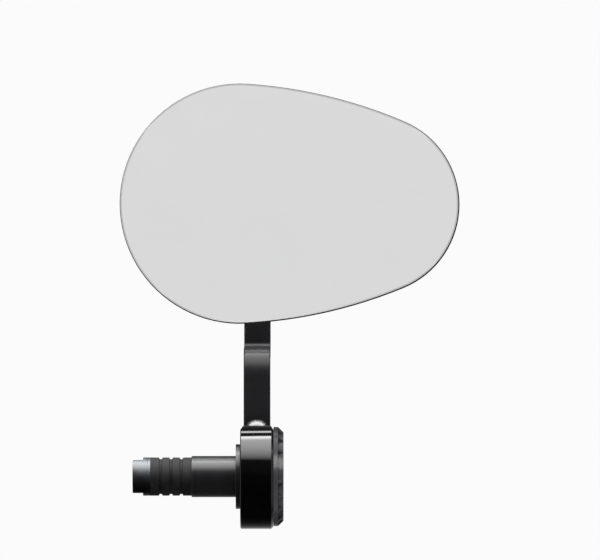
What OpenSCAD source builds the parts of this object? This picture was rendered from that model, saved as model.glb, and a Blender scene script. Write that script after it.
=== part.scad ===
// Bar-end mirror: an egg-shaped convex mirror on a ball joint, carried by a stepped arm
// on a clamp ring, which turns on a hub held in the end of a handlebar tube.
// X runs outwards along the handlebar, Z is up and the mirror faces -Y.
// The origin is on the handlebar axis, in the middle of the clamp ring.

/* [Mirror] */
// Radius of the wide end of the mirror
wide_r = 41; // [39:0.1:43]
// Radius of the narrow end of the mirror
narrow_r = 30.8; // [29:0.1:33]
// Distance between the centres of the two ends
end_spacing = 44.2; // [42:0.1:48]
// Radius of the long curves that join the two ends
flank_r = 164; // [140:1:220]
// Radius of curvature of the convex glass
glass_curve_r = 1200; // [1000:50:2000]
// Thickness of the glass
glass_t = 2.2; // [2:0.1:2.6]
// Width of the ground bevel round the glass
glass_bevel = 0.5; // [0.3:0.1:1.2]
// Width of the black rim that the backing plate shows round the glass
rim_show = 0.35; // [0.2:0.05:0.6]
// Thickness of the adhesive pad behind the glass
pad_t = 0.8; // [0.5:0.1:1]
// Thickness of the backing plate at its rim
plate_t = 1.8; // [1.5:0.1:2.2]
// Radius of the domed rear of the backing plate
dome_r = 110; // [90:1:130]

/* [Ball joint] */
// Diameter of the ball
ball_d = 12; // [11.6:0.1:12.2]
// Height of the ball's centre over the handlebar axis
ball_z = 92.8; // [88:0.1:100]
// Distance from the arm's front face to the ball's centre
ball_reach = 11; // [11:0.1:13]
// Diameter of the neck behind the ball
neck_d = 4.8; // [4:0.1:5]
// Diameter of the retaining ring that closes the socket
retainer_d = 26; // [26:0.5:28]

/* [Arm] */
// Width of the arm
arm_w = 9.1; // [8.8:0.1:9.4]
// Thickness of the arm
arm_t = 4; // [3.5:0.1:4.5]
// Height at which the arm starts to curve backwards
curve_z = 34; // [30:0.5:38]
// Radius of the front of that curve
curve_r = 10; // [9:0.5:12]
// Length of the level part of the step, which sets the mirror's face level with the arm's
shelf_l = 13.5; // [11:0.5:16]
// Radius of the inner corner where the arm turns up again
corner_r = 1.5; // [1:0.1:2]
// Bevel along the arm's edges
arm_bevel = 0.35; // [0.2:0.05:0.5]
// Thickness of the foot under the arm
foot_t = 3; // [2.6:0.1:3.2]

/* [Clamp ring] */
// Outer diameter of the clamp ring
ring_d = 35.6; // [35:0.1:37]
// Width of the clamp ring along the handlebar
ring_w = 11.2; // [10.8:0.1:12]
// Bevel on the rims of the clamp ring
ring_bevel = 0.7; // [0.4:0.1:1]
// Width of the slit that the pinch screw closes
slit_w = 1.2; // [0.8:0.1:1.6]

/* [Bar end] */
// Diameter of the hub journal that the clamp ring turns on
journal_d = 20; // [19:0.1:20.5]
// Diameter of the hub spigot that goes into the handlebar tube
spigot_d = 14; // [13.5:0.1:14.5]
// Length of that spigot
spigot_l = 15; // [12:1:20]
// Outer diameter of the handlebar tube that the hub flange meets
bar_d = 22; // [21:0.1:22.5]
// Length of the rubber expander sleeve
sleeve_l = 14; // [10:1:18]
// Diameter of the end cap
cap_d = 33.7; // [33:0.1:34]
// Thickness of the end cap
cap_t = 3.4; // [3.2:0.1:3.8]
// Number of pockets round the end cap
pocket_count = 18; // [12:1:24]
// Width of the ribs between the pockets
rib_w = 0.9; // [0.7:0.1:1.2]

/* [Hidden] */
$fn = 96;

// Clearances: a running fit, a gap beside a moving face and the gap in the ball socket
run_gap = 0.05;
side_gap = 0.05;
ball_gap = 0.12;
// Overlap that makes a cut pass cleanly through a face
over = 0.5;
// Sides of the very large circles and of a hexagon
big_fn = 720;
hex_fn = 6;

// Metric screws: radii of the shank and the head, head height, and radius and depth of the key's hole
m25 = [1.25, 2.25, 1.3, 0.87, 0.8];
m3 = [1.5, 2.75, 3, 1.44, 1.6];
m4 = [2, 3.75, 2.2, 1.44, 1.3];
m6 = [3, 6, 3, 2.31, 2.4];
stud_r = 2.5;
thread_chamfer = 0.4;
// Clearance of a thread in its nut, of a shank in its hole and of a head in its sink
thread_gap = 0.05;
shank_gap = 0.2;
head_gap = 0.1;

// Along the handlebar axis
ring_r = ring_d / 2;
ring_x = ring_w / 2;
journal_x = ring_x + side_gap;
flange_t = 1.5;
spigot_x = -journal_x - flange_t;
sleeve_x = spigot_x - spigot_l;
sleeve_r = spigot_d / 2 - 0.5;
groove_r = 0.6;
groove_count = 3;
washer_t = 1;
washer_x = sleeve_x - sleeve_l;
nut_x = washer_x - washer_t;
nut_l = 5;
nut_flat = 5.5;
nut_rim = 1.5;
cap_x = journal_x;
cap_face_x = cap_x + cap_t;
cap_boss_r = 6.5;
cap_boss_l = 2.5;
cap_floor_r = 14.9;
cap_bevel_r = 15.05;
cap_rim_t = 1.55;
pocket_x = cap_x + cap_rim_t;
first_rib = 5;
bolt_sink = 0.3;
bolt_face_x = cap_face_x - bolt_sink;

// The ring's inner rim has a finer bevel, and its crown slopes down beside the arm
inner_bevel = 0.3;
crown_slope = [1.3, 1.8];

// The foot of the arm lies in a pocket in the crown of the ring
foot_z = 14.3;
foot_top = foot_z + foot_t;
foot_front = -5.4;
seat_gap = 0.05;
arm_y = 4.3;
arm_back = arm_y + arm_t;

// The step in the arm
curve_y = arm_y + curve_r;
shelf_z = curve_z + curve_r;
corner_y = curve_y + shelf_l;
corner_z = shelf_z + corner_r;
upper_y = corner_y + corner_r;
eye_r = 7;
arm_screw_l = 6;

// The pinch screw crosses the slit at the back of the ring
pinch_y = 13.5;
pinch_seat = -5.5;
pinch_l = 14;

// Depths from the ball's centre, forwards negative
ball_r = ball_d / 2;
ball_y = upper_y - ball_reach;
seat_t = 1.48;
seat_in_r = ball_r + ball_gap;
seat_out_r = seat_in_r + seat_t;
socket_r = seat_out_r + ball_gap;
seat_split = 0.4;
seat_back = 4;
boss_back = 1;
retainer_back = 5;
collar_r = 4.2;
collar_t = 1.5;
retainer_r = retainer_d / 2;
retainer_bevel = 0.8;
boss_r = retainer_r + 0.6;
dome_back = -1.5;
spring_t = 0.5;
spring_h = 0.9;
spring_r = 5;
spring_back = ball_reach + arm_t + spring_h;
stud_nut_h = 4;
stud_nut_af = 8;
stud_tail = 0.9;

// The egg hangs a little at its narrow end, and the glass sits slightly up and inwards on it
egg_tilt = 0.4;
glass_shift = [-0.12, 0.12];

// The mirror's layers, as radii about one centre of curvature
face_depth = -12.3;
optic_x = 11;
curve_centre = face_depth + glass_curve_r;
pad_r = glass_curve_r - glass_t;
back_front_r = pad_r - pad_t;
back_rear_r = back_front_r - plate_t;
pad_inset = 1.2;
back_taper = 6;
layer_reach = 75;
layer_depth = 16;
layer_angle = 4;
layer_chords = 14;
bevel_depth = 0.2;
bevel_rake = 1.5;

// The retaining ring's three screws
retainer_screws_n = 3;
retainer_pitch_r = 10.4;
retainer_sink = 1.5;
retainer_screw_l = 6.5;
retainer_hole_l = 7;
retainer_head = retainer_back - retainer_sink;

// Where the flanks of the egg leave its round ends
wide_x = -5.9;
narrow_x = wide_x + end_spacing;
wide_gap = flank_r - wide_r;
narrow_gap = flank_r - narrow_r;
flank_dx = (wide_gap ^ 2 - narrow_gap ^ 2 + end_spacing ^ 2) / (2 * end_spacing);
flank_dz = sqrt(wide_gap ^ 2 - flank_dx ^ 2);
wide_angle = atan2(flank_dz, -flank_dx);
narrow_angle = atan2(flank_dz, end_spacing - flank_dx);

// Points along an arc, without its last point
function arc(centre, r, from, to, steps) =
    [for (i = [0 : steps - 1])
        let (a = from + (to - from) * i / steps)
        [centre.x + r * cos(a), centre.y + r * sin(a)]];

// The mirror's outline, seen from the front and moved inwards by inset
module egg(inset = 0) {
    translate([0, ball_z])
        rotate(-egg_tilt)
            polygon(concat(
                arc([narrow_x, 0], narrow_r - inset, -narrow_angle, narrow_angle, 32),
                arc([wide_x + flank_dx, -flank_dz], flank_r - inset, narrow_angle, wide_angle, 12),
                arc([wide_x, 0], wide_r - inset, wide_angle, 360 - wide_angle, 48),
                arc([wide_x + flank_dx, flank_dz], flank_r - inset, -wide_angle, -narrow_angle, 12)
            ));
}

// Turns a half-profile of radius and distance about the handlebar axis
module turned_on_bar() {
    rotate([0, 90, 0])
        rotate_extrude()
            children();
}

// Turns a half-profile of radius and depth about the ball's own axis
module turned_on_ball() {
    translate([0, ball_y, ball_z])
        rotate([-90, 0, 0])
            rotate_extrude()
                children();
}

// A strip of a turned profile between two radii and two distances
module band(r_in, r_out, from, to) {
    translate([r_in, from])
        square([r_out - r_in, to - from]);
}

// A straight hole or shank along the ball's axis, offset sideways and upwards
module along_ball(r, from, to, dx = 0, dz = 0) {
    translate([dx, ball_y + from, ball_z + dz])
        rotate([-90, 0, 0])
            cylinder(r = r, h = to - from);
}

// A slab between two depths, cut to a flat shape seen from the front
module facing(from, to) {
    translate([0, ball_y + to, 0])
        rotate([90, 0, 0])
            linear_extrude(to - from)
                children();
}

// Everything behind a spherical layer of the mirror
module behind_layer(r) {
    translate([optic_x, 0, 0])
        turned_on_ball()
            intersection() {
                translate([0, curve_centre])
                    circle(r = r, $fn = big_fn);
                translate([0, curve_centre - r - over])
                    square([layer_reach, layer_depth]);
            }
}

// The same with the layer drawn in short chords, which lie just behind the curve
module behind_chords(r) {
    rear = curve_centre - r + layer_depth;
    translate([optic_x, 0, 0])
        turned_on_ball()
            polygon(concat(
                arc([0, curve_centre], r, -90, -90 + layer_angle, layer_chords),
                [[r * sin(layer_angle * (1 - 1 / layer_chords)), rear], [0, rear]]
            ));
}

// Places a child at each of the retaining ring's screws
module at_retainer_screws() {
    for (i = [0 : retainer_screws_n - 1])
        translate([0, 0, ball_z])
            rotate([0, 90 + i * 360 / retainer_screws_n, 0])
                translate([retainer_pitch_r, 0, -ball_z])
                    children();
}

// Hub: turned aluminium spigot, flange and journal with a through hole for the bolt
module hub() {
    color("#2b2c2e")
        turned_on_bar()
            difference() {
                union() {
                    band(m6[0] + shank_gap, spigot_d / 2, sleeve_x, spigot_x);
                    band(m6[0] + shank_gap, bar_d / 2, spigot_x, -journal_x);
                    band(m6[0] + shank_gap, journal_d / 2, -journal_x, journal_x);
                }
                band(0, cap_boss_r + run_gap, journal_x - cap_boss_l - run_gap, journal_x + over);
            }
}

// End cap: turned disc with a bevelled rim, cut by pockets that leave thin ribs
module end_cap() {
    color("#26272a")
        difference() {
            intersection() {
                turned_on_bar()
                    polygon([
                        [0, cap_x - cap_boss_l], [cap_boss_r, cap_x - cap_boss_l],
                        [cap_boss_r, cap_x], [cap_d / 2, cap_x], [cap_d / 2, pocket_x],
                        [cap_bevel_r, cap_face_x], [0, cap_face_x]
                    ]);
                union() {
                    turned_on_bar()
                        union() {
                            band(0, cap_d, cap_x - cap_boss_l - over, pocket_x);
                            band(0, cap_floor_r, pocket_x - over, cap_face_x + over);
                        }
                    for (i = [0 : pocket_count - 1])
                        rotate([first_rib + i * 360 / pocket_count, 0, 0])
                            translate([pocket_x - over, -cap_d, -rib_w / 2])
                                cube([cap_t, cap_d, rib_w]);
                }
            }
            turned_on_bar()
                polygon([
                    [0, cap_x - cap_boss_l - over],
                    [m6[0] + shank_gap, cap_x - cap_boss_l - over],
                    [m6[0] + shank_gap, bolt_face_x - m6[2]],
                    [m6[1] + head_gap, bolt_face_x],
                    [m6[1] + head_gap, cap_face_x + over], [0, cap_face_x + over]
                ]);
        }
}

// Mounting bolt: countersunk screw through the cap, the hub and the sleeve into the nut
module mount_bolt() {
    tip_x = nut_x - nut_l;
    color("#9a9da1")
        difference() {
            turned_on_bar()
                polygon([
                    [0, tip_x], [m6[0] - thread_chamfer, tip_x], [m6[0], tip_x + thread_chamfer],
                    [m6[0], bolt_face_x - m6[2]], [m6[1], bolt_face_x], [0, bolt_face_x]
                ]);
            translate([bolt_face_x - m6[4], 0, 0])
                rotate([0, 90, 0])
                    cylinder(r = m6[3], h = m6[4] + over, $fn = hex_fn);
        }
}

// Expander sleeve: rubber bush that swells in the handlebar tube as the bolt is tightened
module expander_sleeve() {
    color("#1d1d1e")
        turned_on_bar()
            difference() {
                band(m6[0] + shank_gap, sleeve_r, washer_x, sleeve_x);
                for (i = [1 : groove_count])
                    translate([sleeve_r, sleeve_x - i * sleeve_l / (groove_count + 1)])
                        circle(r = groove_r);
            }
}

// Plain washer between the sleeve and the nut
module sleeve_washer() {
    color("#b4b7ba")
        turned_on_bar()
            band(m6[0] + shank_gap, sleeve_r, nut_x, washer_x);
}

// Expander nut: round threaded nut with two flats
module expander_nut() {
    color("#8f9296")
        difference() {
            turned_on_bar()
                band(m6[0] + thread_gap, sleeve_r, nut_x - nut_l, nut_x);
            for (side = [0, 180])
                rotate([side, 0, 0])
                    translate([nut_x - nut_l - over, -spigot_d / 2, nut_flat])
                        cube([nut_l - nut_rim + over, spigot_d, spigot_d]);
        }
}

// Clamp ring: split collar with bevelled rims, a pocket for the arm's foot and a pinch screw
module clamp_ring() {
    color("#141416")
        difference() {
            turned_on_bar()
                polygon([
                    [journal_d / 2 + run_gap, -ring_x],
                    [ring_r - inner_bevel, -ring_x], [ring_r, -ring_x + inner_bevel],
                    [ring_r, ring_x - ring_bevel], [ring_r - ring_bevel, ring_x],
                    [journal_d / 2 + run_gap, ring_x]
                ]);
            translate([-arm_w / 2 - seat_gap, foot_front - seat_gap, foot_z])
                cube([arm_w + 2 * seat_gap, arm_back - foot_front + 2 * seat_gap, ring_r]);
            for (side = [0, 1])
                mirror([side, 0, 0])
                    translate([0, ring_r, 0])
                        rotate([90, 0, 0])
                            linear_extrude(ring_d)
                                polygon([
                                    [ring_x - crown_slope.x, ring_r],
                                    [ring_x, ring_r - crown_slope.y],
                                    [ring_x + crown_slope.x, ring_r - 2 * crown_slope.y],
                                    [ring_d, ring_d], [ring_x - crown_slope.x, ring_d]
                                ]);
            cylinder(r = m4[0] + thread_gap, h = ring_r);
            translate([-ring_x - over, journal_d / 4, -slit_w / 2])
                cube([ring_w + 2 * over, ring_r, slit_w]);
            translate([0, pinch_y, pinch_seat - over])
                cylinder(r = m3[0] + thread_gap, h = pinch_l + 2 * over);
            translate([0, pinch_y, pinch_seat - ring_r])
                cylinder(r = m3[1] + shank_gap, h = ring_r);
        }
}

// Pinch screw: socket cap screw that closes the slit
module pinch_screw() {
    color("#8f9296")
        translate([0, pinch_y, pinch_seat])
            difference() {
                union() {
                    cylinder(r = m3[0], h = pinch_l);
                    translate([0, 0, -m3[2]])
                        cylinder(r = m3[1], h = m3[2]);
                }
                translate([0, 0, -m3[2] - over])
                    cylinder(r = m3[3], h = m3[4] + over, $fn = hex_fn);
            }
}

// The arm's section: a flat bar with bevelled edges, laid from a given radius outwards
module arm_section(from = 0) {
    half = arm_w / 2;
    translate([from, 0])
        polygon([
            [0, arm_bevel - half], [arm_bevel, -half], [arm_t - arm_bevel, -half],
            [arm_t, arm_bevel - half], [arm_t, half - arm_bevel], [arm_t - arm_bevel, half],
            [arm_bevel, half], [0, half - arm_bevel]
        ]);
}

// A straight length of the arm standing at one depth
module arm_straight(y, from, to) {
    translate([0, y, from])
        mirror([1, -1, 0])
            linear_extrude(to - from)
                arm_section();
}

// A quarter turn of the arm about a line across it
module arm_turn(y, z, r, start) {
    translate([0, y, z])
        rotate([90, 0, 90])
            rotate([0, 0, start])
                rotate_extrude(angle = 90)
                    arm_section(r);
}

// Arm: foot, straight stem, curve backwards, upright strip and the eye for the ball stud
module arm() {
    color("#1b1b1d")
        difference() {
            union() {
                intersection() {
                    rotate([0, 90, 0])
                        cylinder(r = ring_r, h = arm_w, center = true);
                    translate([-arm_w / 2, foot_front, foot_z])
                        cube([arm_w, arm_back - foot_front, foot_t]);
                }
                arm_straight(arm_y, foot_z, curve_z);
                arm_turn(curve_y, curve_z, curve_r - arm_t, 90);
                translate([0, curve_y, shelf_z])
                    rotate([-90, 0, 0])
                        linear_extrude(corner_y - curve_y)
                            rotate(90)
                                arm_section();
                arm_turn(corner_y, corner_z, corner_r, 270);
                arm_straight(upper_y, corner_z, ball_z);
                turned_on_ball()
                    polygon([
                        [0, ball_reach], [eye_r - arm_bevel, ball_reach],
                        [eye_r, ball_reach + arm_bevel], [eye_r, ball_reach + arm_t - arm_bevel],
                        [eye_r - arm_bevel, ball_reach + arm_t], [0, ball_reach + arm_t]
                    ]);
            }
            translate([0, 0, foot_z - over])
                cylinder(r = m4[0] + shank_gap, h = foot_t + 2 * over);
            along_ball(stud_r + run_gap, ball_reach - over, ball_reach + arm_t + over);
        }
}

// Arm screw: button head screw through the foot into the ring
module arm_screw() {
    cap_r = (m4[1] ^ 2 + m4[2] ^ 2) / (2 * m4[2]);
    color("#c9cbce")
        translate([0, 0, foot_top])
            difference() {
                union() {
                    rotate_extrude()
                        intersection() {
                            translate([0, m4[2] - cap_r])
                                circle(r = cap_r);
                            square([m4[1], m4[2]]);
                        }
                    translate([0, 0, -arm_screw_l])
                        cylinder(r = m4[0], h = arm_screw_l + over);
                }
                translate([0, 0, m4[2] - m4[4]])
                    cylinder(r = m4[3], h = m4[2], $fn = hex_fn);
            }
}

// Ball stud: ball, neck, collar against the arm and threaded tail
module ball_stud() {
    tail = spring_back + washer_t + stud_nut_h + stud_tail;
    color("#a5a8ac")
        turned_on_ball()
            union() {
                intersection() {
                    circle(r = ball_r);
                    band(0, ball_r, -ball_r, ball_r);
                }
                band(0, neck_d / 2, 0, ball_reach);
                band(0, collar_r, ball_reach - collar_t, ball_reach);
                polygon([
                    [0, ball_reach - over], [stud_r, ball_reach - over],
                    [stud_r, tail - thread_chamfer], [stud_r - thread_chamfer, tail], [0, tail]
                ]);
            }
}

// Disc spring: coned washer that keeps the stud's nut under load
module disc_spring() {
    inner_r = stud_r + shank_gap;
    color("#7d8084")
        turned_on_ball()
            polygon([
                [inner_r, spring_back - spring_t], [spring_r, spring_back - spring_h],
                [spring_r, spring_back - spring_h + spring_t], [inner_r, spring_back]
            ]);
}

// Plain washer under the stud's nut
module stud_washer() {
    color("#b4b7ba")
        turned_on_ball()
            band(stud_r + shank_gap, spring_r, spring_back, spring_back + washer_t);
}

// Stud nut: hexagon nut with chamfered corners
module stud_nut() {
    from = spring_back + washer_t;
    to = from + stud_nut_h;
    corner_r = stud_nut_af / 2 / cos(30);
    color("#9a9da1")
        difference() {
            intersection() {
                translate([0, ball_y + from, ball_z])
                    rotate([-90, 0, 0])
                        cylinder(r = corner_r, h = stud_nut_h, $fn = hex_fn);
                turned_on_ball()
                    polygon([
                        [0, from], [corner_r, from], [corner_r, to - thread_chamfer],
                        [corner_r - 2 * thread_chamfer, to], [0, to]
                    ]);
            }
            along_ball(stud_r + thread_gap, from - over, to + over);
        }
}

// A zone of the nylon seat between two depths
module seat_zone(from, to) {
    turned_on_ball()
        intersection() {
            difference() {
                circle(r = seat_out_r);
                circle(r = seat_in_r);
            }
            band(0, seat_out_r + over, from, to);
        }
}

// Front seat: nylon cup that carries the ball from the front
module front_seat() {
    color("#d8d5cc")
        seat_zone(-seat_out_r - over, -seat_split);
}

// Rear seat: nylon ring that the retaining ring presses onto the ball
module rear_seat() {
    color("#d8d5cc")
        seat_zone(seat_split, seat_back);
}

// Mirror back: machined plate with a domed rear, a boss and the front half of the socket
module mirror_back() {
    rim_front = face_depth + glass_t + pad_t;
    color("#1b1b1d")
        difference() {
            intersection() {
                hull() {
                    facing(rim_front - over, rim_front + plate_t + over)
                        egg();
                    facing(boss_back, boss_back + over)
                        egg(back_taper);
                }
                behind_chords(back_front_r);
            }
            difference() {
                behind_chords(back_rear_r);
                turned_on_ball()
                    union() {
                        intersection() {
                            translate([0, dome_back - dome_r])
                                circle(r = dome_r, $fn = big_fn);
                            band(0, layer_reach / 2, face_depth, 0);
                        }
                        band(0, boss_r, face_depth, boss_back);
                    }
            }
            turned_on_ball()
                intersection() {
                    circle(r = socket_r);
                    band(0, socket_r, -socket_r, boss_back + thread_gap);
                }
            at_retainer_screws()
                along_ball(m25[0] + thread_gap, retainer_head - retainer_hole_l, boss_back + over);
        }
}

// Retaining ring: rear half of the socket, screwed to the boss
module retaining_ring() {
    color("#2b2c2e")
        difference() {
            turned_on_ball()
                difference() {
                    polygon([
                        [0, boss_back], [retainer_r, boss_back],
                        [retainer_r, retainer_back - retainer_bevel],
                        [retainer_r - retainer_bevel, retainer_back], [0, retainer_back]
                    ]);
                    circle(r = socket_r);
                }
            at_retainer_screws() {
                along_ball(m25[0] + shank_gap, boss_back - over, retainer_back);
                along_ball(m25[1] + head_gap, retainer_head, retainer_back + over);
            }
        }
}

// Retainer screws: three small button head screws
module retainer_screws() {
    color("#8f9296")
        at_retainer_screws()
            difference() {
                union() {
                    along_ball(m25[0], retainer_head - retainer_screw_l, retainer_head);
                    along_ball(m25[1], retainer_head, retainer_head + m25[2]);
                }
                translate([0, ball_y + retainer_head + m25[2] - m25[4], ball_z])
                    rotate([-90, 0, 0])
                        cylinder(r = m25[3], h = m25[2], $fn = hex_fn);
            }
}

// Glass pad: thin adhesive sheet that follows the back of the glass
module glass_pad() {
    color("#3a3a3a")
        difference() {
            intersection() {
                facing(face_depth, 0)
                    egg(pad_inset);
                behind_layer(pad_r);
            }
            behind_layer(back_front_r);
        }
}

// Mirror glass: convex sheet with a ground bevel round its front edge
module mirror_glass() {
    bevel_front = face_depth + bevel_depth;
    color("#d9d9d9")
        difference() {
            intersection() {
                translate([glass_shift.x, 0, glass_shift.y])
                    hull() {
                        facing(bevel_front - over, bevel_front)
                            egg(rim_show + glass_bevel);
                        facing(bevel_front + bevel_rake * glass_bevel, 0)
                            egg(rim_show);
                    }
                behind_layer(glass_curve_r);
            }
            behind_layer(pad_r);
        }
}

hub();
end_cap();
mount_bolt();
expander_sleeve();
sleeve_washer();
expander_nut();
clamp_ring();
pinch_screw();
arm();
arm_screw();
ball_stud();
disc_spring();
stud_washer();
stud_nut();
front_seat();
rear_seat();
mirror_back();
retaining_ring();
retainer_screws();
glass_pad();
mirror_glass();
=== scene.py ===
import math

import bmesh
import bpy
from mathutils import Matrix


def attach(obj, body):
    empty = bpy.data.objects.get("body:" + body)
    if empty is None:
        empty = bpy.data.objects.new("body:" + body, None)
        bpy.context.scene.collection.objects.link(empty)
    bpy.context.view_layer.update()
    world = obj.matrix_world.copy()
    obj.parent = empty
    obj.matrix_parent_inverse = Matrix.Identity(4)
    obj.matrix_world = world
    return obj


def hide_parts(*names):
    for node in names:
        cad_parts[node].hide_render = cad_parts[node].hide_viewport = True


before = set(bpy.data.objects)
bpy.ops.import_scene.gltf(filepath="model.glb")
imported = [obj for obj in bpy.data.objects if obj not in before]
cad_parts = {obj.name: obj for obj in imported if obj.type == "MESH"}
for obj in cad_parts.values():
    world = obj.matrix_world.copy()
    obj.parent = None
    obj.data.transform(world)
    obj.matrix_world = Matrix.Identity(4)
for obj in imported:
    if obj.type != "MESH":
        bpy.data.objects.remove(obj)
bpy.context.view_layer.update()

# Studio: a level camera with a long lens, straight in front of the mirror and slightly
# right of its arm, as in the photograph. The picture's width takes in VIEW_WIDTH metres
# at the mirror's face.
CAMERA_X = 0.01465
CAMERA_Z = 0.0668
CAMERA_DISTANCE = 2.4
FACE_Y = 0.006
VIEW_WIDTH = 0.2044

bpy.ops.object.select_all(action="DESELECT")
bpy.ops.object.camera_add(
    location=(CAMERA_X, FACE_Y - CAMERA_DISTANCE, CAMERA_Z), rotation=(math.pi / 2, 0, 0)
)
camera = bpy.context.object
camera.data.lens = camera.data.sensor_width * CAMERA_DISTANCE / VIEW_WIDTH
bpy.context.scene.camera = camera
bpy.context.scene.view_settings.view_transform = "Standard"

# Floor: a plain pale disc well below the mirror, which hangs in the air as if its spigot
# were held. Its paint is matt and without colour. Gloss doesn't see it, so the underside
# of the black ring stays deep.
FLOOR_Z = -0.25
FLOOR_RADIUS = 2.3


def linear(code):
    """An sRGB hex colour as linear RGBA."""
    parts = [int(code[i : i + 2], 16) / 255 for i in (1, 3, 5)]
    return tuple(p / 12.92 if p <= 0.04045 else ((p + 0.055) / 1.055) ** 2.4 for p in parts) + (1,)


def add(tree, kind, inputs=None, stops=None, **settings):
    """Adds a node with its settings, and sets or links its inputs. stops fill a colour ramp."""
    made = tree.nodes.new(kind)
    for name, value in settings.items():
        setattr(made, name, value)
    for name, value in (inputs or {}).items():
        if isinstance(value, bpy.types.NodeSocket):
            tree.links.new(value, made.inputs[name])
        else:
            made.inputs[name].default_value = value
    if stops:
        ramp = made.color_ramp
        while len(ramp.elements) > 1:
            ramp.elements.remove(ramp.elements[-1])
        for i, (place, value) in enumerate(stops):
            stop = ramp.elements[0] if i == 0 else ramp.elements.new(place)
            stop.position = place
            stop.color = linear(value) if isinstance(value, str) else (value, value, value, 1)
    return made


def new_material(name):
    """A material with its node tree and its Principled shader."""
    material = bpy.data.materials.new(name)
    material.use_nodes = True
    tree = material.node_tree
    return material, tree, tree.nodes["Principled BSDF"]


bpy.ops.mesh.primitive_circle_add(
    vertices=96, radius=FLOOR_RADIUS, fill_type="NGON", location=(0, 0, FLOOR_Z)
)
floor = bpy.context.object
floor.name = "floor"
floor.visible_glossy = False
paint, tree, shader = new_material("matt_studio_paint")
shader.inputs["Base Color"].default_value = linear("#a2a2a2")
shader.inputs["Roughness"].default_value = 0.9
floor.data.materials.append(paint)

# Light: one long softbox overhead, brightest at its far edge, with a narrow second one
# behind it and a pale backdrop. It is drawn on the world by the angle about the hub's
# axis, and the front stays dark, which is what makes gloss black read as black.
SKY_SPAN = 10.0
# Degrees, from 0 in front through 90 overhead to 180 behind, and the level there.
SKY = [
    (-180, 0.9), (-158, 0.5), (-148, 0.3), (-140, 0.17), (-134, 0.12), (-128, 0.075),
    (-118, 0.03), (-100, 0.006), (-34, 0.005), (0, 0.01), (15, 0.03), (38, 0.04), (42, 0.8),
    (46, 1.5), (52, 2.2), (60, 3.0), (66, 3.4), (74, 3.8), (82, 4.0), (91, 4.3), (93, 6.5),
    (97, 9.0), (102, 9.0), (102.5, 0.02), (114, 0.02), (114.5, 4.6), (121.5, 4.6),
    (122, 0.12), (128, 0.06), (180, 0.06),
]
# Past these sines of the angle sideways, the softbox gives way to an even side level.
SIDE_STARTS, SIDE_FULL = 0.72, 0.92
SIDE_LEVEL = 0.25

world = bpy.data.worlds.new("studio")
bpy.context.scene.world = world
world.use_nodes = True
tree = world.node_tree
tree.nodes.clear()
direction = add(tree, "ShaderNodeTexCoord").outputs["Generated"]
split = add(tree, "ShaderNodeSeparateXYZ", {0: direction})
forward = add(tree, "ShaderNodeMath", {0: split.outputs["Y"], 1: -1.0}, operation="MULTIPLY")
angle = add(
    tree, "ShaderNodeMath", {0: split.outputs["Z"], 1: forward.outputs[0]}, operation="ARCTAN2"
)
turn = add(
    tree,
    "ShaderNodeMapRange",
    {"Value": angle.outputs[0], "From Min": -math.pi, "From Max": math.pi},
)
glow = add(
    tree,
    "ShaderNodeValToRGB",
    {"Fac": turn.outputs["Result"]},
    stops=[((degrees + 180) / 360, level / SKY_SPAN) for degrees, level in SKY],
)
level = add(
    tree, "ShaderNodeMath", {0: glow.outputs["Color"], 1: SKY_SPAN}, operation="MULTIPLY"
)
sideways = add(tree, "ShaderNodeMath", {0: split.outputs["X"]}, operation="ABSOLUTE")
side = add(
    tree,
    "ShaderNodeMapRange",
    {"Value": sideways.outputs[0], "From Min": SIDE_STARTS, "From Max": SIDE_FULL},
    interpolation_type="SMOOTHSTEP",
)
strength = add(
    tree,
    "ShaderNodeMix",
    {"Factor": side.outputs["Result"], "A": level.outputs[0], "B": SIDE_LEVEL},
)
lit = add(
    tree,
    "ShaderNodeBackground",
    {"Color": linear("#ffffff"), "Strength": strength.outputs["Result"]},
)
backdrop = add(tree, "ShaderNodeBackground", {"Color": linear("#fbfbfb")})
path = add(tree, "ShaderNodeLightPath")
sky = add(
    tree,
    "ShaderNodeMixShader",
    {0: path.outputs["Is Camera Ray"], 1: lit.outputs[0], 2: backdrop.outputs[0]},
)
add(tree, "ShaderNodeOutputWorld", {"Surface": sky.outputs[0]})

# Hub: turned 6061 aluminium, black anodised. The lathe leaves fine rings, which the satin
# film keeps, and they draw its highlight out along it. It is the fixed piece that
# everything else is held on.
MM = 0.001
MERGE_MM = 0.002
FLAT_ANGLE = math.radians(0.2)


def soften(name, material, body, radius, angle=30):
    """A copy of a CAD node, merged, with its sharp edges rounded. The radius is in mm."""
    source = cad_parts[name]
    bpy.ops.object.select_all(action="DESELECT")
    piece = bpy.data.objects.new(name + "_finished", source.data.copy())
    bpy.context.scene.collection.objects.link(piece)
    bpy.context.view_layer.objects.active = piece
    piece.select_set(True)
    bpy.ops.object.mode_set(mode="EDIT")
    bpy.ops.mesh.select_all(action="SELECT")
    bpy.ops.mesh.remove_doubles(threshold=MERGE_MM * MM)
    bpy.ops.mesh.dissolve_limited(angle_limit=FLAT_ANGLE)
    bpy.ops.object.mode_set(mode="OBJECT")
    if radius:
        bevel = piece.modifiers.new("rounding", "BEVEL")
        bevel.width = radius * MM
        bevel.segments = 3
        bevel.limit_method = "ANGLE"
        bevel.angle_limit = math.radians(angle)
        bevel.miter_outer = "MITER_ARC"
        bpy.ops.object.modifier_apply(modifier=bevel.name)
    bpy.ops.object.shade_smooth_by_angle(angle=math.radians(angle))
    # Slivers left by the CAD's triangles would show as dents without this.
    even = piece.modifiers.new("weighted_normals", "WEIGHTED_NORMAL")
    even.keep_sharp = True
    even.weight = 80
    bpy.ops.object.modifier_apply(modifier=even.name)
    piece.data.materials.clear()
    piece.data.materials.append(material)
    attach(piece, body)
    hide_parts(name)
    return piece


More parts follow.
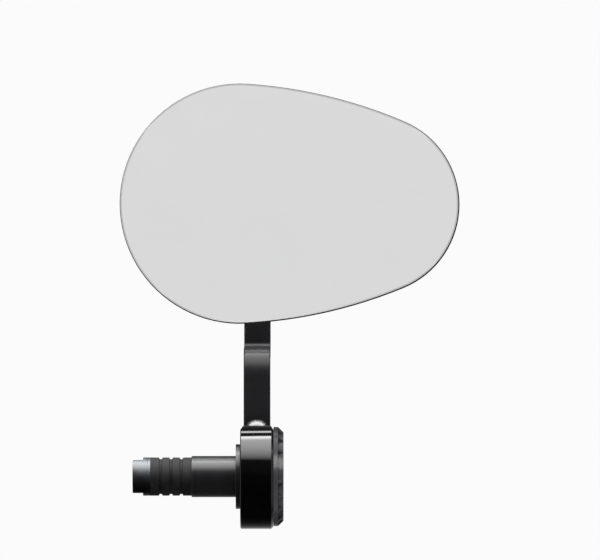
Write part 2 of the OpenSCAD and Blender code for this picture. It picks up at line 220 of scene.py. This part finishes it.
def turned_marks(tree, centre, along):
    """Coordinates that follow a lathe's tool: the distance along an axis and the radius from it."""
    place = add(tree, "ShaderNodeTexCoord").outputs["Object"]
    moved = add(tree, "ShaderNodeVectorMath", {0: place, 1: centre}, operation="SUBTRACT")
    flat = tuple(0.0 if i == along else 1.0 for i in range(3))
    across = add(tree, "ShaderNodeVectorMath", {0: moved.outputs[0], 1: flat}, operation="MULTIPLY")
    radius = add(tree, "ShaderNodeVectorMath", {0: across.outputs[0]}, operation="LENGTH")
    parts = add(tree, "ShaderNodeSeparateXYZ", {0: moved.outputs[0]})
    return add(
        tree, "ShaderNodeCombineXYZ", {0: parts.outputs[along], 1: radius.outputs["Value"]}
    ).outputs[0]


def finish(tree, shader, film, tones, matt, marks=None, strength=0.0, depth=0.0):
    """Film drives colour and roughness, and marks drive the bump, whose depth is in mm."""
    tone = add(tree, "ShaderNodeValToRGB", {"Fac": film}, stops=tones)
    gloss = add(tree, "ShaderNodeMapRange", {"Value": film, "To Min": matt[0], "To Max": matt[1]})
    tree.links.new(tone.outputs["Color"], shader.inputs["Base Color"])
    tree.links.new(gloss.outputs["Result"], shader.inputs["Roughness"])
    if depth:
        relief = add(
            tree, "ShaderNodeBump", {"Height": marks, "Strength": strength, "Distance": depth * MM}
        )
        tree.links.new(relief.outputs["Normal"], shader.inputs["Normal"])


HUB_AXIS = (0.0, 0.0, 0.0)
ANODISED_IOR = 1.77
hub_black, tree, shader = new_material("turned_satin_black_anodised_aluminium")
# Lathe rings are about 0.1 mm apart; 0.385 mm is the finest that shows.
rings = add(
    tree,
    "ShaderNodeTexNoise",
    {"Vector": turned_marks(tree, HUB_AXIS, 0), "Scale": 1 / (0.385 * MM), "Detail": 2.0},
).outputs["Fac"]
finish(
    tree, shader, rings, [(0.3, "#1a1a1c"), (0.7, "#26262a")], (0.24, 0.4), rings, 0.25, 0.02
)
shader.inputs["IOR"].default_value = ANODISED_IOR
soften("hub", hub_black, "bar_end", 0.12)

# Expander sleeve: moulded rubber bush with three grooves, squeezed between the hub and its
# washer. The rubber is matt, with a faint grey bloom in patches of 5.5 mm.
rubber, tree, shader = new_material("moulded_natural_rubber")
place = add(tree, "ShaderNodeTexCoord").outputs["Object"]
bloom = add(
    tree, "ShaderNodeTexNoise", {"Vector": place, "Scale": 1 / (5.55 * MM), "Detail": 4.0}
).outputs["Fac"]
# The mould's grain is about 0.1 mm; 0.415 mm is the finest that shows.
grain = add(
    tree, "ShaderNodeTexNoise", {"Vector": place, "Scale": 1 / (0.415 * MM), "Detail": 2.0}
).outputs["Fac"]
finish(
    tree, shader, bloom, [(0.35, "#161617"), (0.7, "#252526")], (0.6, 0.85), grain, 0.4, 0.03
)
shader.inputs["IOR"].default_value = 1.52
soften("expander_sleeve", rubber, "bar_end", 0)

# Sleeve washer and expander nut: mild steel, turned and zinc plated. The plating is a soft
# grey with a faint cool bloom in patches of 3.85 mm, and shows the turning under it.
zinc, tree, shader = new_material("zinc_plated_steel")
place = add(tree, "ShaderNodeTexCoord").outputs["Object"]
bloom = add(
    tree, "ShaderNodeTexNoise", {"Vector": place, "Scale": 1 / (3.85 * MM), "Detail": 3.0}
).outputs["Fac"]
# The plating's grain is under 0.1 mm; 0.455 mm shows.
grain = add(
    tree, "ShaderNodeTexNoise", {"Vector": place, "Scale": 1 / (0.455 * MM), "Detail": 2.0}
).outputs["Fac"]
zinc_tones = [(0.3, "#6f7173"), (0.55, "#7a7d80"), (0.8, "#75797f")]
finish(tree, shader, bloom, zinc_tones, (0.38, 0.52), grain, 0.25, 0.02)
shader.inputs["Metallic"].default_value = 1.0
soften("sleeve_washer", zinc, "bar_end", 0.1)
soften("expander_nut", zinc, "bar_end", 0.12)


# Mounting bolt: A2 stainless steel, bright, with fine turning marks about its own axis,
# through the end cap and the hub into the expander nut. The other screws are the same.
def bright_steel(name, centre, along, tones=("#a9a9a8", "#b9b9b8"), matt=0.12):
    """Bright stainless steel whose marks run round one axis."""
    steel, tree, shader = new_material(name)
    # Turning marks are about 0.1 mm apart; 0.455 mm shows.
    rings = add(
        tree,
        "ShaderNodeTexNoise",
        {"Vector": turned_marks(tree, centre, along), "Scale": 1 / (0.455 * MM), "Detail": 2.0},
    ).outputs["Fac"]
    place = add(tree, "ShaderNodeTexCoord").outputs["Object"]
    wear = add(
        tree, "ShaderNodeTexNoise", {"Vector": place, "Scale": 1 / (2.38 * MM), "Detail": 3.0}
    ).outputs["Fac"]
    stops = [(0.3, tones[0]), (0.7, tones[1])]
    finish(tree, shader, wear, stops, (matt, matt + 0.14), rings, 0.2, 0.02)
    shader.inputs["Metallic"].default_value = 1.0
    return steel


soften("mount_bolt", bright_steel("stainless_bolt", HUB_AXIS, 0), "bar_end", 0.1)

# Clamp ring: machined 6061 aluminium, polished and then gloss black anodised, closed on the
# hub by a socket screw across its slit. It is the glossiest black on the part, deep and
# almost without colour.
PINCH_AXIS = (0.0, 13.5 * MM, 0.0)
ring_black, tree, shader = new_material("polished_gloss_black_anodised_aluminium")
place = add(tree, "ShaderNodeTexCoord").outputs["Object"]
polish = add(
    tree, "ShaderNodeTexNoise", {"Vector": place, "Scale": 1 / (7.7 * MM), "Detail": 3.0}
).outputs["Fac"]
# Polishing leaves marks of a few hundredths of a millimetre; 0.67 mm shows, very faintly.
rings = add(
    tree,
    "ShaderNodeTexNoise",
    {"Vector": turned_marks(tree, HUB_AXIS, 0), "Scale": 1 / (0.667 * MM), "Detail": 2.0},
).outputs["Fac"]
finish(
    tree, shader, polish, [(0.3, "#030303"), (0.7, "#060606")], (0.05, 0.1), rings, 0.03, 0.01
)
shader.inputs["IOR"].default_value = ANODISED_IOR
soften("clamp_ring", ring_black, "clamp_arm", 0.08)
pinch_steel = bright_steel("stainless_pinch_screw", PINCH_AXIS, 2)
soften("pinch_screw", pinch_steel, "clamp_arm", 0.08)

# End cap: milled aluminium disc, semi-gloss black anodised, with pockets round its bevel.
# The film is thin and dull, so it reads as a dark grey beside the ring.
CAP_IOR = 1.2
cap_black, tree, shader = new_material("milled_semi_gloss_black_anodised_aluminium")
place = add(tree, "ShaderNodeTexCoord").outputs["Object"]
film = add(
    tree, "ShaderNodeTexNoise", {"Vector": place, "Scale": 1 / (4.17 * MM), "Detail": 3.0}
).outputs["Fac"]
# The cutter's marks are about 0.1 mm apart; 0.5 mm shows.
rings = add(
    tree,
    "ShaderNodeTexNoise",
    {"Vector": turned_marks(tree, HUB_AXIS, 0), "Scale": 1 / (0.5 * MM), "Detail": 2.0},
).outputs["Fac"]
finish(
    tree, shader, film, [(0.3, "#262628"), (0.7, "#2e2e30")], (0.18, 0.26), rings, 0.1, 0.02
)
shader.inputs["IOR"].default_value = CAP_IOR
end_cap = soften("end_cap", cap_black, "bar_end", 0.08)

# Arm: flat bar of 6061 aluminium, milled to its stepped shape, bead blasted and satin
# black anodised, and held on the ring by a button head screw. The blasting leaves an even
# grain that spreads its highlights, and the screw is duller than the others.
BLASTED_IOR = 1.4
arm_black, tree, shader = new_material("blasted_satin_black_anodised_aluminium")
place = add(tree, "ShaderNodeTexCoord").outputs["Object"]
film = add(
    tree, "ShaderNodeTexNoise", {"Vector": place, "Scale": 1 / (6.67 * MM), "Detail": 3.0}
).outputs["Fac"]
# Blasting pits are about 0.1 mm across; 0.4 mm is the finest that shows.
pits = add(
    tree, "ShaderNodeTexNoise", {"Vector": place, "Scale": 1 / (0.4 * MM), "Detail": 1.0}
).outputs["Fac"]
finish(
    tree, shader, film, [(0.3, "#252527"), (0.7, "#2a2a2c")], (0.25, 0.31), pits, 0.12, 0.02
)
shader.inputs["IOR"].default_value = BLASTED_IOR
soften("arm", arm_black, "clamp_arm", 0.1)
screw_steel = bright_steel("stainless_arm_screw", HUB_AXIS, 2, ("#757574", "#828281"), 0.26)
soften("arm_screw", screw_steel, "clamp_arm", 0.08)

# Ball stud, its nut, washer and disc spring: the stud and nut are hardened steel, ground
# and polished on the ball, turned elsewhere. They hang the head from the arm's eye.
BALL = (0.0, 18.3 * MM, 92.8 * MM)
ball_steel = bright_steel("ground_and_polished_steel", BALL, 1)
soften("ball_stud", ball_steel, "stud", 0.08)
soften("stud_nut", ball_steel, "stud", 0.12)
soften("disc_spring", zinc, "stud", 0.05)
soften("stud_washer", zinc, "stud", 0.1)

# Ball seats: two moulded cups of natural nylon that grip the ball. Nylon is off-white and
# slightly waxy, with soft flow marks 4.5 mm across.
nylon, tree, shader = new_material("moulded_natural_nylon")
place = add(tree, "ShaderNodeTexCoord").outputs["Object"]
flow = add(
    tree, "ShaderNodeTexNoise", {"Vector": place, "Scale": 1 / (4.55 * MM), "Detail": 3.0}
).outputs["Fac"]
# The mould's grain is under 0.1 mm; 0.455 mm shows.
grain = add(
    tree, "ShaderNodeTexNoise", {"Vector": place, "Scale": 1 / (0.455 * MM), "Detail": 1.0}
).outputs["Fac"]
finish(
    tree, shader, flow, [(0.3, "#aaa69b"), (0.7, "#b6b3a9")], (0.36, 0.5), grain, 0.2, 0.02
)
shader.inputs["IOR"].default_value = 1.53
soften("front_seat", nylon, "seat", 0)
soften("rear_seat", nylon, "seat", 0)

# Mirror back and retaining ring: machined aluminium plate with a domed rear, blasted and
# anodised as the arm is, and a turned ring held on it by three small screws.
soften("mirror_back", arm_black, "head", 0.15, 25)
soften("retaining_ring", hub_black, "head", 0.12)
soften("retainer_screws", ball_steel, "head", 0.06)

# Glass pad: die-cut acrylic foam tape between the glass and the plate. Its cut side shows
# closed cells in dark grey. They are about 0.1 mm across; 0.4 mm shows.
foam, tree, shader = new_material("closed_cell_acrylic_foam")
place = add(tree, "ShaderNodeTexCoord").outputs["Object"]
cells = add(
    tree, "ShaderNodeTexVoronoi", {"Vector": place, "Scale": 1 / (0.4 * MM)}
).outputs["Distance"]
finish(
    tree, shader, cells, [(0.1, "#2a2a2b"), (0.7, "#3a3a3b")], (0.8, 0.95), cells, 0.5, 0.05
)
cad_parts["glass_pad"].data.materials[0] = foam

# Mirror glass: float glass bent to a 1.2 m radius, ground round its edge and chromed on its
# face, which is bare. The chrome is clear and neutral, with the faintest haze.
chrome, tree, shader = new_material("chromed_float_glass")
place = add(tree, "ShaderNodeTexCoord").outputs["Object"]
haze = add(
    tree, "ShaderNodeTexNoise", {"Vector": place, "Scale": 1 / (16.7 * MM), "Detail": 2.0}
).outputs["Fac"]
finish(tree, shader, haze, [(0.3, "#ececed"), (0.7, "#eeeeee")], (0.015, 0.03))
shader.inputs["Metallic"].default_value = 1.0

# The bevel is ground before the chroming, so it is a duller and slightly darker mirror.
# The wheel's grain is about 0.1 mm; 0.4 mm is the finest that shows.
ground, tree, shader = new_material("ground_and_chromed_glass_edge")
place = add(tree, "ShaderNodeTexCoord").outputs["Object"]
grain = add(
    tree, "ShaderNodeTexNoise", {"Vector": place, "Scale": 1 / (0.4 * MM), "Detail": 1.0}
).outputs["Fac"]
finish(
    tree, shader, grain, [(0.3, "#c4c4c5"), (0.7, "#cccccd")], (0.1, 0.16), grain, 0.2, 0.02
)
shader.inputs["Metallic"].default_value = 1.0

# The wall was cut and only smoothed, so it is bare glass that looks grey-green and matt,
# with chips and dull places about 1 mm across.
cut, tree, shader = new_material("cut_glass_edge")
place = add(tree, "ShaderNodeTexCoord").outputs["Object"]
chips = add(
    tree, "ShaderNodeTexNoise", {"Vector": place, "Scale": 1 / (1.11 * MM), "Detail": 3.0}
).outputs["Fac"]
finish(
    tree, shader, chips, [(0.3, "#46494a"), (0.7, "#565a5a")], (0.35, 0.55), chips, 0.2, 0.02
)
shader.inputs["IOR"].default_value = 1.52

# The outline is an egg of four arcs about the ball: a wide end, a narrow one and two flanks.
WIDE_R, NARROW_R, FLANK_R, END_SPACING = 41 * MM, 30.8 * MM, 164 * MM, 44.2 * MM
WIDE_X = -5.9 * MM
WIDE_STEPS, NARROW_STEPS, FLANK_STEPS, GRID_SPAN = 72, 48, 24, 34
EGG_TILT = math.radians(0.4)
GLASS_INSET = 0.35 * MM
GLASS_SHIFT = (-0.12 * MM, 0, 0.12 * MM)
GLASS_THICK = 2.2 * MM
GLASS_BEVEL = 0.5 * MM
BEVEL_FALL = 0.13 * MM
GLASS_CURVE = 1.2
OPTIC_X = 11 * MM
FACE_DEPTH = -12.3 * MM

wide_gap, narrow_gap = FLANK_R - WIDE_R, FLANK_R - NARROW_R
flank_x = (wide_gap**2 - narrow_gap**2 + END_SPACING**2) / (2 * END_SPACING)
flank_z = math.sqrt(wide_gap**2 - flank_x**2)
wide_turn = math.atan2(flank_z, -flank_x)
narrow_turn = math.atan2(flank_z, END_SPACING - flank_x)
apex_y = BALL[1] + FACE_DEPTH
first_r = NARROW_R - GLASS_INSET

bpy.ops.object.select_all(action="DESELECT")
bpy.ops.mesh.primitive_plane_add(
    size=MM,
    location=(
        WIDE_X + END_SPACING + first_r * math.cos(narrow_turn),
        apex_y,
        BALL[2] - first_r * math.sin(narrow_turn),
    ),
)
glass = bpy.context.object
glass.name = "mirror_glass_finished"
bpy.ops.object.mode_set(mode="EDIT")
bpy.ops.mesh.merge(type="CENTER")
for arc_x, arc_z, turn, steps in (
    (WIDE_X + END_SPACING, 0, 2 * narrow_turn, NARROW_STEPS),
    (WIDE_X + flank_x, -flank_z, wide_turn - narrow_turn, FLANK_STEPS),
    (WIDE_X, 0, 2 * (math.pi - wide_turn), WIDE_STEPS),
    (WIDE_X + flank_x, flank_z, wide_turn - narrow_turn, FLANK_STEPS),
):
    bpy.ops.mesh.spin(
        steps=steps, angle=turn, center=(arc_x, apex_y, BALL[2] + arc_z), axis=(0, 1, 0)
    )
bpy.ops.mesh.select_all(action="SELECT")
bpy.ops.mesh.remove_doubles(threshold=0.01 * MM)
bpy.ops.mesh.fill_grid(span=GRID_SPAN)
bpy.ops.mesh.select_all(action="SELECT")
bpy.ops.mesh.flip_normals()
bpy.ops.transform.rotate(value=-EGG_TILT, orient_axis="Y", center_override=BALL)
bpy.ops.transform.translate(value=GLASS_SHIFT)
bpy.ops.object.mode_set(mode="OBJECT")
bpy.ops.object.transform_apply(location=True, rotation=True, scale=True)

bpy.ops.object.empty_add(location=(OPTIC_X, apex_y + GLASS_CURVE, BALL[2]))
curve_centre = bpy.context.object
bpy.ops.object.select_all(action="DESELECT")
bpy.context.view_layer.objects.active = glass
glass.select_set(True)
bent = glass.modifiers.new("bent", "CAST")
bent.object = curve_centre
bent.factor = 1
bent.size = GLASS_CURVE
bpy.ops.object.modifier_apply(modifier=bent.name)
bpy.data.objects.remove(curve_centre)
sheet = glass.modifiers.new("thickness", "SOLIDIFY")
sheet.thickness = GLASS_THICK
sheet.offset = -1
sheet.use_even_offset = True
bpy.ops.object.modifier_apply(modifier=sheet.name)

# How far forward a normal points: the face passes FACE_LEAN, and the bevel lies between
# it and BEVEL_LEAN. The wall leans less than WALL_LEAN.
FACE_LEAN, BEVEL_LEAN, WALL_LEAN = 0.985, 0.9, 0.5


def select_in(piece, kind, wanted):
    """Selects the vertices, edges or faces of a piece in edit mode that answer to a test."""
    mesh = bmesh.from_edit_mesh(piece.data)
    bpy.ops.mesh.select_all(action="DESELECT")
    for part in getattr(mesh, kind):
        if wanted(part):
            part.select_set(True)
    mesh.select_flush_mode()
    bmesh.update_edit_mesh(piece.data)


bpy.ops.object.mode_set(mode="EDIT")
bpy.ops.mesh.select_mode(type="FACE")
select_in(glass, "faces", lambda f: f.normal.y < -BEVEL_LEAN)
bpy.ops.mesh.inset(thickness=GLASS_BEVEL)
bpy.ops.mesh.select_mode(type="VERT")
select_in(
    glass,
    "verts",
    lambda v: any(abs(f.normal.y) < WALL_LEAN for f in v.link_faces)
    and any(f.normal.y < -BEVEL_LEAN for f in v.link_faces),
)
bpy.ops.transform.translate(value=(0, BEVEL_FALL, 0))
for material in (chrome, ground, cut):
    glass.data.materials.append(material)
bpy.ops.mesh.select_mode(type="FACE")
for index, lowest, highest in ((1, -FACE_LEAN, -BEVEL_LEAN), (2, -BEVEL_LEAN, BEVEL_LEAN)):
    select_in(glass, "faces", lambda f: lowest < f.normal.y < highest)
    glass.active_material_index = index
    bpy.ops.object.material_slot_assign()
bpy.ops.object.mode_set(mode="OBJECT")
bpy.ops.object.shade_smooth_by_angle(angle=math.radians(8))
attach(glass, "head")
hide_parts("mirror_glass")

# Cards: the mirror has to mirror something pale, so one card hangs far behind the camera
# and one lies below. Two small ones in front make the end cap's highlight and fill. Each
# lights one piece and nothing else, and nothing else shades that piece from it.
for name, piece, place, tip, size, level in (
    ("card_behind_camera", glass, (0, -4.0, 0), 90, 9.0, 0.807),
    ("card_below", glass, (0, -1.0, -3.5), 180, 9.0, 0.807),
    ("card_above_end_cap", end_cap, (0, -1.6, 1.2), 53, 1.0, 21.0),
    ("card_below_end_cap", end_cap, (0, -1.0, -1.7), 149.5, 2.2, 2.3),
):
    bpy.ops.object.select_all(action="DESELECT")
    bpy.ops.object.light_add(type="AREA", location=place, rotation=(math.radians(tip), 0, 0))
    card = bpy.context.object
    card.name = name
    card.data.size = size
    card.data.energy = level * math.pi * size**2
    card.visible_camera = False
    lit_piece = bpy.data.collections.new(name + "_lights")
    lit_piece.objects.link(piece)
    card.light_linking.receiver_collection = lit_piece
    card.light_linking.blocker_collection = lit_piece

# As in the photograph, the ring and the arm don't mirror what stands above them, and the
# head throws no shade on the arm.
for name in (
    "arm", "arm_screw", "ball_stud", "disc_spring", "stud_washer", "stud_nut", "front_seat",
    "rear_seat", "mirror_back", "retaining_ring", "retainer_screws", "glass_pad", "mirror_glass",
):
    piece = bpy.data.objects.get(name + "_finished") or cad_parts[name]
    piece.visible_glossy = False
    if not name.startswith("arm"):
        piece.visible_diffuse = False
        piece.visible_shadow = False
